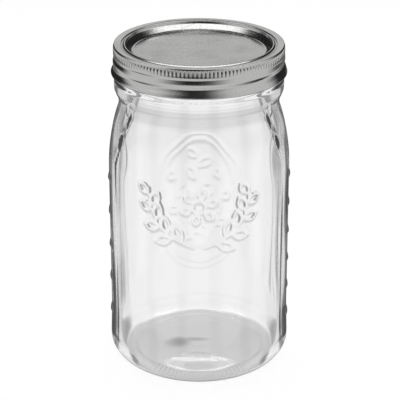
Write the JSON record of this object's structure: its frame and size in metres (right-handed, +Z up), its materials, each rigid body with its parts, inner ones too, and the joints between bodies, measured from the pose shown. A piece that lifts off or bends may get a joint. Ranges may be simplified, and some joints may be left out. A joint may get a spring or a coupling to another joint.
{
  "type": "canning jar",
  "caption": "Clear glass wide-mouth canning jar with a pressed lid disc, its sealing ring and a threaded screw band that turns off the helical glass thread.",
  "frame": {"origin": "centre of the standing ring, on the plane that the jar stands on", "axes": "+Z up along the jar's axis, -Y towards the front panel, +X to the right seen from the front"},
  "size_m": [0.0962, 0.0962, 0.1756],
  "materials": {
    "clear_glass": "clear, fire-polished soda-lime glass",
    "satin_tinplate": "satin lacquered tinplate",
    "sealing_compound": "matt moulded compound",
    "bright_tinplate": "bright rolled tinplate"
  },
  "bodies": {
    "jar": {"glass_jar": "clear_glass"},
    "lid": {"lid_disc": "satin_tinplate", "sealing_ring": "sealing_compound"},
    "band": {"screw_band": "bright_tinplate"}
  },
  "joints": [
    {"name": "lid_lift", "type": "slide", "parent": "jar", "child": "lid", "axis": [0, 0, 1], "range_m": [0, 0.01905]},
    {"name": "band_turn", "type": "hinge", "parent": "lid", "child": "band", "pos_m": [0, 0, 0.1679], "axis": [0, 0, 1], "range_deg": [0, 1080]}
  ],
  "couplings": [
    {"joint": "lid_lift", "follows": "band_turn", "m_per_rad": 0.0010106}
  ]
}
